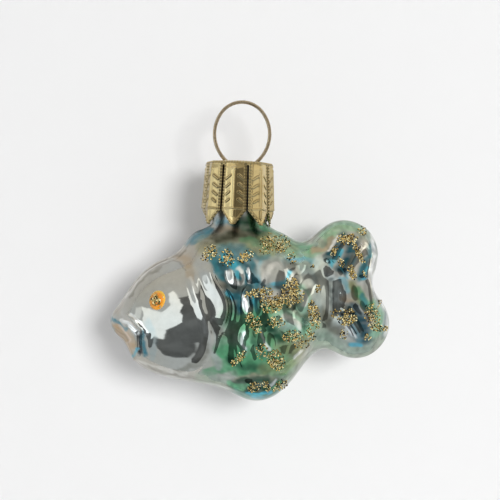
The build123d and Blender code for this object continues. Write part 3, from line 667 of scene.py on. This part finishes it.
def make_flakes(name, tree, spots, seed, lift=FLAKE_LIFT_MM, tilt=FLAKE_TILT, size=FLAKE_MM):
    """Thin six-sided flakes that lie on the surface, each a little askew."""
    rng = random.Random(seed)
    points, faces, colours = [], [], []
    for px, py, side in spots:
        hit, normal = side_ray(tree, px, py, side)
        if hit is None:
            continue
        faces += [tuple(len(points) + i for i in face) for face in prism_faces(6)]
        points += flake_points(hit + normal * lift, normal, size * rng.uniform(0.75, 1.2), rng, tilt)
        colours += [pick_colour(rng)] * 12
    obj = new_mesh(name, points, faces, smooth=False)
    paint(obj, colours)
    return obj


def glitter_spots(patches, density, side, seed):
    """Random spots in ellipses, a little closer together in their middles."""
    rng = random.Random(seed)
    spots = []
    for x, y, half_w, half_h, turn, count in patches:
        for _ in range(int(count * density)):
            a, r = rng.uniform(0, math.tau), rng.uniform(0, 1) ** 0.7
            u, v = turned(turn, half_w * r * math.cos(a), half_h * r * math.sin(a))
            spots.append((x + u, y + v, side))
    return spots


def make_eye(tree, side, name):
    """A thick oval drop of enamel, a little flatter on top than a dome."""
    rings, around = 18, 48
    hit, normal = side_ray(tree, EYE_X, EYE_Y, side)
    u = Vector((0, 0, 1)).cross(normal).normalized()
    v = normal.cross(u)
    points, colours = [hit + normal * EYE_DOME_MM], [ENAMEL]
    for r in range(1, rings + 1):
        share = r / rings
        drop = EYE_DOME_MM * (1 - share**2.6)
        for c in range(around):
            a = c * math.tau / around
            spot = hit + (u * math.cos(a) * EYE_HALF_MM[0] * share + v * math.sin(a) * EYE_HALF_MM[1] * share)
            ground, _, _, _ = tree.ray_cast(spot + normal * 3, -normal)
            base = (ground - spot).dot(normal) if ground is not None else 0
            points.append(spot + normal * (base - 0.03 + drop))
            edge = smoothstep(share, 0.62, 0.92) * (0.5 + 0.5 * math.sin(a) * 0.6 + 0.2)
            colours.append(np.array(ENAMEL) * (1 - edge) + np.array(ENAMEL_EDGE) * edge)
    eye = new_mesh(name, points, dome_faces(rings, around))
    paint(eye, colours)
    return eye


# ---- crown cap
def pressed(w, z, x0, z0, x1, z1, width, height):
    """A soft raised line from x0, z0 to x1, z1."""
    dx, dz = x1 - x0, z1 - z0
    t = np.clip(((w - x0) * dx + (z - z0) * dz) / (dx * dx + dz * dz), 0, 1)
    return height * bell(np.hypot(w - x0 - t * dx, z - z0 - t * dz), 0, width)


def petal_emboss(w, edge, down):
    """Pressed pattern: beaded border, a fir tree and a small pot in the tip."""
    a = np.abs(w)
    beads = 0.5 + 0.5 * np.cos(math.tau * down / BEAD_PITCH)
    out = 0.19 * bell(edge - a, 0.22, 0.13) * beads + 0.045 * bell(edge - a, 0.52, 0.09)
    for line in FIR_AND_POT:
        out += pressed(a, down, *line)
    for across, centre, reach in LEAVES:
        dx, dy = reach * math.cos(LEAF_TILT), reach * math.sin(LEAF_TILT)
        out += pressed(a, down, across - dx, centre - dy, across + dx, centre + dy, 0.17, 0.17)
    return out


def cap_askew(points):
    """The cap sits a little askew on the neck."""
    points = np.array(points)
    x, z = turned(CAP_LEAN, points[:, 0] - NECK_X, points[:, 2] - CAP_TOP_Z)
    points[:, 0], points[:, 2] = NECK_X + x, CAP_TOP_Z + z
    return points


def make_petals():
    half = math.pi / PETALS
    across, steps = 56, 170
    cols = across + 1
    rim_z, tip_z = CAP_TOP_Z - RIM_DROP, CAP_TOP_Z - CAP_HEIGHT
    z = np.linspace(rim_z, tip_z, steps + 1)[:, None]
    down = rim_z - z
    corner = RIM_CORNER + (TIP_CORNER - RIM_CORNER) * down / (rim_z - tip_z)
    full = corner * math.sin(half) - SLOT_HALF
    narrow = TIP_HALF + (full - TIP_HALF) * np.clip((z - tip_z) / PETAL_POINT, 0, 1)
    edge = np.where(z > tip_z + PETAL_POINT, full, narrow)
    w = np.linspace(-1, 1, cols)[None, :] * edge
    off = np.abs(w)
    emboss = petal_emboss(w, edge, down) - 0.02
    steep = np.hypot(np.gradient(emboss, axis=0) / 0.055, np.gradient(emboss, axis=1) / 0.07)
    shade = (1 - 0.62 * smoothstep(steep, 0.15, 0.95)) * (1 + 0.12 * smoothstep(emboss, 0.05, 0.14))
    rim = [r * cols for r in range(steps + 1)] + [steps * cols + c for c in range(1, cols)]
    rim += [r * cols + across for r in range(steps - 1, -1, -1)]
    points, faces, tones = [], [], []
    for k in range(PETALS):
        ridge = FIRST_RIDGE + k * 2 * half
        # Painted light and shade: each half of a petal is lighter or darker for the reflection its facet would show,
        # and the pressed pattern gets painted shade on its steep sides and a painted highlight on its raised parts
        left_tone, right_tone = PETAL_LIGHT_AND_SHADE.get(k, (0.9, 0.9))
        tone = (left_tone + (right_tone - left_tone) * smoothstep(w, -0.05, 0.2)) * shade
        curl = 0.1 * smoothstep(down, 6.5, 9.5) + PETAL_BEND.get(k, 0) * smoothstep(down, 6.6, 9.6)
        curl = curl - FOLD.get(k, 0.0) * np.clip(1 - off / full, 0, 1) * smoothstep(down, 0.0, 0.9)
        out_angle = ridge + np.sign(w) * half * np.clip(off / 0.25, 0, 1)
        along_angle = ridge + np.sign(w) * (half + math.pi / 2)
        reach = corner - 0.1 * bell(w, 0, 0.3)
        first = len(points)
        for lift in (emboss - curl, emboss * 0.6 - SHEET * 0.72 - curl):
            base = len(points)
            px = NECK_X + reach * math.cos(ridge) + off * np.cos(along_angle) + lift * np.cos(out_angle)
            py = reach * math.sin(ridge) + off * np.sin(along_angle) + lift * np.sin(out_angle)
            points += list(np.stack([px, py, np.broadcast_to(z, w.shape)], axis=-1).reshape(-1, 3))
            tones += list(tone.reshape(-1, 1))
            for r in range(steps):
                for a in range(base + r * cols, base + r * cols + across):
                    quad = (a, a + cols, a + 1 + cols, a + 1)
                    faces.append(quad if base == first else quad[::-1])
        faces += [(first + a, base + a, base + b, first + b) for a, b in zip(rim[:-1], rim[1:])]
    petals = new_mesh("petals", cap_askew(points), faces)
    paint(petals, tones)
    return petals


def octagon_radius(corner, turn):
    half = math.pi / PETALS
    local = (turn - FIRST_RIDGE + half) % (2 * half) - half
    return corner * math.cos(half) / np.cos(np.abs(local) - half)


def make_cap_top():
    """A slightly domed disc, a beaded shoulder and a short band down to the petals."""
    turn = np.arange(384) * math.tau / 384
    points, tones = [(NECK_X, 0, CAP_TOP_Z + 0.03)], [0.95]
    for share in np.linspace(0, 0.9, 14)[1:]:
        z = CAP_TOP_Z + 0.03 - TOP_DOME * share**2
        points.extend(around_neck(octagon_radius(TOP_CORNER, turn) * share, turn, z))
        tones += [0.95] * len(turn)
    for out, drop in CAP_SHOULDER:
        grow = TOP_CORNER * 0.93 + (RIM_CORNER - TOP_CORNER * 0.93) * out / 0.67
        bead = 0.16 * math.sin(math.pi * min(1, out / 0.6)) * (0.5 + 0.5 * np.cos(turn * RIM_BEADS))
        z = CAP_TOP_Z - 0.36 - drop * 0.62 + bead * 0.6
        points.extend(around_neck(octagon_radius(grow, turn) + bead, turn, z))
        # painted highlights on the beads of the shoulder and painted shade between them
        tones.extend(0.42 + 4.4 * bead if 0.05 < out < 0.65 else 0.8 + 0 * bead)
    top = new_mesh("cap_top", cap_askew(points), dome_faces(len(points) // len(turn), len(turn)))
    paint(top, np.array(tones)[:, None])
    sheet = top.modifiers.new("sheet", "SOLIDIFY")
    sheet.thickness = SHEET * 0.8 * MM
    cutters = [slot_cutter(side) for side in (-1, 1)]
    for cutter in cutters:
        cut = top.modifiers.new("hole", "BOOLEAN")
        cut.operation = "DIFFERENCE"
        cut.object = cutter
    bpy.context.view_layer.objects.active = top
    for modifier in list(top.modifiers):
        bpy.ops.object.modifier_apply(modifier=modifier.name)
    for cutter in cutters:
        bpy.data.objects.remove(cutter)
    return top


def slot_cutter(side, n=32):
    ring = []
    for c in range(n):
        a = math.tau * c / n
        x = HOLE_HALF[1] * math.cos(a) + math.copysign(HOLE_HALF[0] - HOLE_HALF[1], math.cos(a))
        ring.append((side * HOLE_X + x, HOLE_HALF[1] * math.sin(a)))
    points = [(x, y, CAP_TOP_Z + rise) for rise in (-1, 1) for x, y in ring]
    return new_mesh("hole", points, prism_faces(n), smooth=False)


# ---- materials
class Nodes:
    """A node tree built with short calls: an output socket is linked, any other value is set."""

    def __init__(self, owner):
        owner.use_nodes = True
        self.tree = owner.node_tree

    def put(self, node, inputs):
        for key, value in inputs.items():
            if isinstance(value, bpy.types.NodeSocket):
                self.tree.links.new(value, node.inputs[key])
            else:
                node.inputs[key].default_value = value

    def add(self, kind, inputs=None, **settings):
        node = self.tree.nodes.new("ShaderNode" + kind)
        for key, value in settings.items():
            setattr(node, key, value)
        self.put(node, inputs or {})
        return node

    def math(self, operation, *values):
        return self.add("Math", dict(enumerate(values)), operation=operation).outputs[0]

    def noise(self, scale, detail=4.0):
        place = self.add("TexCoord").outputs["Object"]
        inputs = {"Scale": scale, "Detail": detail, "Roughness": 0.55, "Vector": place}
        return self.add("TexNoise", inputs).outputs["Fac"]

    def spread(self, value, low, high):
        """Stretches a noise to run from low to high."""
        inputs = {"From Min": 0.3, "From Max": 0.7, "To Min": low, "To Max": high, "Value": value}
        return self.add("MapRange", inputs).outputs["Result"]

    def toned(self, colour, factor):
        return self.add("VectorMath", {0: colour, "Scale": factor}, operation="SCALE").outputs["Vector"]

    def mix(self, factor, a, b):
        return self.add("Mix", {"Factor": factor, "A": a, "B": b}, data_type="RGBA").outputs["Result"]

    def bump(self, height, strength, distance=0.0001):
        inputs = {"Strength": strength, "Distance": distance, "Height": height}
        return self.add("Bump", inputs).outputs["Normal"]

    def painted(self):
        return self.add("Attribute", attribute_name=PAINT).outputs

    def shade(self, inputs):
        self.put(self.tree.nodes["Principled BSDF"], inputs)


def new_material(name):
    mat = bpy.data.materials.new(name)
    return mat, Nodes(mat)


def glass_material():
    mat, nodes = new_material("silvered_lacquered_glass")
    coat = nodes.painted()
    polish = nodes.spread(nodes.noise(500.0), 0.03, 0.08)
    nodes.shade({
        "Base Color": nodes.toned(coat["Color"], nodes.spread(nodes.noise(900.0), 0.94, 1.04)),
        "Roughness": nodes.math("MULTIPLY_ADD", coat["Alpha"], NECK_HAZE, polish),
        "Normal": nodes.bump(nodes.noise(420.0, 2.0), 0.03),
        "Metallic": 1.0,
        "Coat Weight": 0.25,
        "Coat Roughness": 0.03,
    })
    return mat


def brass_material(name, colour, dark, scale, rough, dent, toned=False):
    mat, nodes = new_material(name)
    brass = nodes.mix(nodes.spread(nodes.noise(scale), 0.0, 1.0), (*dark, 1), (*colour, 1))
    nodes.shade({
        # on the cap the painted layer scales the brass with painted light and shade
        "Base Color": nodes.toned(brass, nodes.painted()["Fac"]) if toned else brass,
        "Roughness": nodes.spread(nodes.noise(scale * 3), *rough),
        "Normal": nodes.bump(nodes.noise(scale * 2, 3.0), dent),
        "Metallic": 1.0,
    })
    return mat


def grainy_material(name, scale, detail, tones, rough, dent, depth, extra):
    """A painted surface whose tone, gloss and dents follow one fine noise."""
    mat, nodes = new_material(name)
    grain = nodes.noise(scale, detail)
    nodes.shade({
        "Base Color": nodes.toned(nodes.painted()["Color"], nodes.spread(grain, *tones)),
        "Roughness": nodes.spread(grain, *rough),
        "Normal": nodes.bump(grain, dent, depth),
        **extra,
    })
    return mat


# ---- build the pieces
glass = make_glass()
tree = surface_tree(glass)
join(glass, make_neck(tree))
glass.data.materials.append(glass_material())
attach(glass, "glass")
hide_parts("glass_body")

flakes_mat = grainy_material("gold_flakes", 3000, 4.0, (0.85, 1.1), (0.1, 0.24), 0.15, 0.00005, {"Metallic": 0.85})
enamel_mat = grainy_material("orange_enamel", 1500, 2.0, (0.86, 1.08), (0.16, 0.28), 0.12, 0.0001, {"Coat Weight": 0.3})
for side, side_name in ((-1, "left"), (1, "right")):
    spots = glitter_spots(GLITTER, GLITTER_DENSITY, side, 40 + side)
    flakes = make_flakes(side_name + "_glitter_flakes", tree, spots, 60 + side)
    flakes.data.materials.append(flakes_mat)
    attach(flakes, "glass")
    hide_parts(*[f"{side_name}_{group}_glitter" for group in GROUPS])
    eye = make_eye(tree, side, side_name + "_enamel_eye")
    eye.data.materials.append(enamel_mat)
    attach(eye, "glass")
    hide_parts(side_name + "_eye_enamel")
    spots = glitter_spots([PUPIL], 1, side, 80 + side) + [(x, y, side) for x, y in STRAYS]
    name = side_name + "_pupil_flakes"
    pupil = make_flakes(name, surface_tree(eye), spots, 90 + side, lift=0.04, tilt=0.5, size=0.36)
    pupil.data.materials.append(flakes_mat)
    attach(pupil, "glass")
    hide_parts(side_name + "_eye_pupil")

cap = join(make_petals(), make_cap_top())
cap.name = "pressed_crown_cap"
cap.data.materials.append(
    brass_material("gilt_cap", (0.66, 0.53, 0.27), (0.58, 0.45, 0.21), 500.0, (0.12, 0.2), 0.02, toned=True)
)
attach(cap, "cap")
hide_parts("crown_cap")

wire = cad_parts["hanger_wire"]
wire.data.materials.clear()
wire.data.materials.append(
    brass_material("gilt_wire", (0.44, 0.36, 0.25), (0.34, 0.27, 0.18), 600.0, (0.22, 0.32), 0.03)
)
wire.data.shade_smooth()


# ---- stage
def backdrop_material():
    """Pale paper that shows from the front. The camera sees part of it as plain colour, so shadows stay light."""
    mat, nodes = new_material("backdrop_paper")
    nodes.tree.nodes.clear()
    paper = nodes.add("BsdfDiffuse", {"Color": (0.9, 0.9, 0.9, 1)}).outputs["BSDF"]
    pale = nodes.add("Emission", {"Color": (PALE, PALE, PALE, 1)}).outputs["Emission"]
    seen = nodes.math("MULTIPLY", nodes.add("LightPath").outputs["Is Camera Ray"], PALE_SHARE)
    lit = nodes.add("MixShader", {"Fac": seen, 1: paper, 2: pale}).outputs["Shader"]
    back = nodes.add("NewGeometry").outputs["Backfacing"]
    clear = nodes.add("BsdfTransparent").outputs["BSDF"]
    both = nodes.add("MixShader", {"Fac": back, 1: lit, 2: clear}).outputs["Shader"]
    nodes.add("OutputMaterial", {"Surface": both})
    return mat


def stage_plane(name, corners, mat):
    obj = new_mesh(name, corners, [(0, 1, 2, 3)], smooth=False)
    obj.data.materials.append(mat)
    return obj


paper = backdrop_material()
w, y, low, high = BACKDROP_HALF, BACKDROP_Y, FLOOR_Z, BACKDROP_TOP
stage_plane("backdrop", [(-w, y, low), (w, y, low), (w, y, high), (-w, y, high)], paper)
w = FLOOR_HALF
floor = stage_plane("floor", [(-w, -w, low), (w, -w, low), (w, w, low), (-w, w, low)], paper)
floor.visible_glossy = False

key = bpy.data.lights.new("key", "AREA")
key.shape = "DISK"
key.size = 0.46
key.energy = 11.2
lamp = new_object("key", key)
lamp.location = Vector(KEY_SPOT) * MM
lamp.rotation_euler = (Vector(KEY_SPOT) - Vector(KEY_AIM)).to_track_quat("Z", "Y").to_euler()
lamp.visible_glossy = False

# World: plain pale light, and for reflections a small studio of a grey room, a window and a dark corner
world = bpy.data.worlds.new("studio")
bpy.context.scene.world = world
studio = Nodes(world)
studio.tree.nodes.clear()
calc = studio.math


def soft_step(value, low, high):
    inputs = {"From Min": low, "From Max": high, "Value": value}
    return studio.add("MapRange", inputs, interpolation_type="SMOOTHSTEP").outputs["Result"]


way = studio.add("TexCoord").outputs["Generated"]
rx, ry, rz = studio.add("SeparateXYZ", {"Vector": way}).outputs
wobble = studio.add("TexNoise", {"Scale": 3.0, "Detail": 3.0, "Vector": way}).outputs["Fac"]
shift = calc("MULTIPLY", calc("SUBTRACT", wobble, 0.5), 0.1)
# Slope of a facing mirror that sends the view that way: across and up
depth = calc("MAXIMUM", calc("SUBTRACT", 1.0, ry), 0.02)
slope = studio.add("CombineXYZ", {
    0: calc("ADD", calc("DIVIDE", rx, depth), shift),
    1: calc("ADD", calc("DIVIDE", rz, depth), shift),
    2: 1.0,
}).outputs["Vector"]


def patch(corners, soft):
    """1 inside a convex shape in slope space, 0 outside."""
    middle = np.mean(corners, axis=0)
    beyond = None
    for (ax, ay), (bx, by) in zip(corners, corners[1:] + corners[:1]):
        across = np.array([by - ay, ax - bx]) / math.hypot(bx - ax, by - ay)
        if across @ (middle - np.array([ax, ay])) > 0:
            across = -across
        line = (across[0], across[1], -across @ np.array([ax, ay]))
        past = studio.add("VectorMath", {0: slope, 1: line}, operation="DOT_PRODUCT").outputs["Value"]
        beyond = past if beyond is None else calc("MAXIMUM", beyond, past)
    return calc("SUBTRACT", 1.0, soft_step(beyond, -soft, soft))


room = calc("ADD", ROOM - 0.08, calc("MULTIPLY", wobble, 0.16))
dark = calc("ADD", 0.06, calc("MULTIPLY", wobble, 0.32))
for corners, soft, light in STUDIO:
    cover = patch(corners, soft)
    room = calc("MULTIPLY", room, calc("SUBTRACT", 1.0, cover))
    room = calc("ADD", room, calc("MULTIPLY", cover, light or dark))

# The room is a little warmer above than at the side and below
warm = soft_step(calc("ADD", rz, calc("MULTIPLY", rx, 0.6)), -0.6, 0.8)
tints = [calc("ADD", cool, calc("MULTIPLY", warm, glow - cool)) for cool, glow in ROOM_TINTS]
glossy = studio.add("CombineXYZ", {i: calc("MULTIPLY", room, tint) for i, tint in enumerate(tints)}).outputs[0]
ray = studio.add("LightPath").outputs
seen = studio.mix(ray["Is Glossy Ray"], (AMBIENT, AMBIENT, AMBIENT, 1), glossy)
seen = studio.mix(ray["Is Camera Ray"], seen, (PALE, PALE, PALE, 1))
background = studio.add("Background", {"Color": seen}).outputs["Background"]
studio.add("OutputWorld", {"Surface": background})

# ---- camera
camera_data = bpy.data.cameras.new("camera")
camera_data.lens = LENS
camera_data.sensor_width = SENSOR
camera_data.clip_start = 0.001
camera = new_object("camera", camera_data)
camera.location = Vector((AIM_X, -CAMERA_FAR, AIM_Z)) * MM
camera.rotation_euler = (math.pi / 2, 0, 0)
bpy.context.scene.camera = camera
bpy.context.scene.view_settings.view_transform = "Standard"
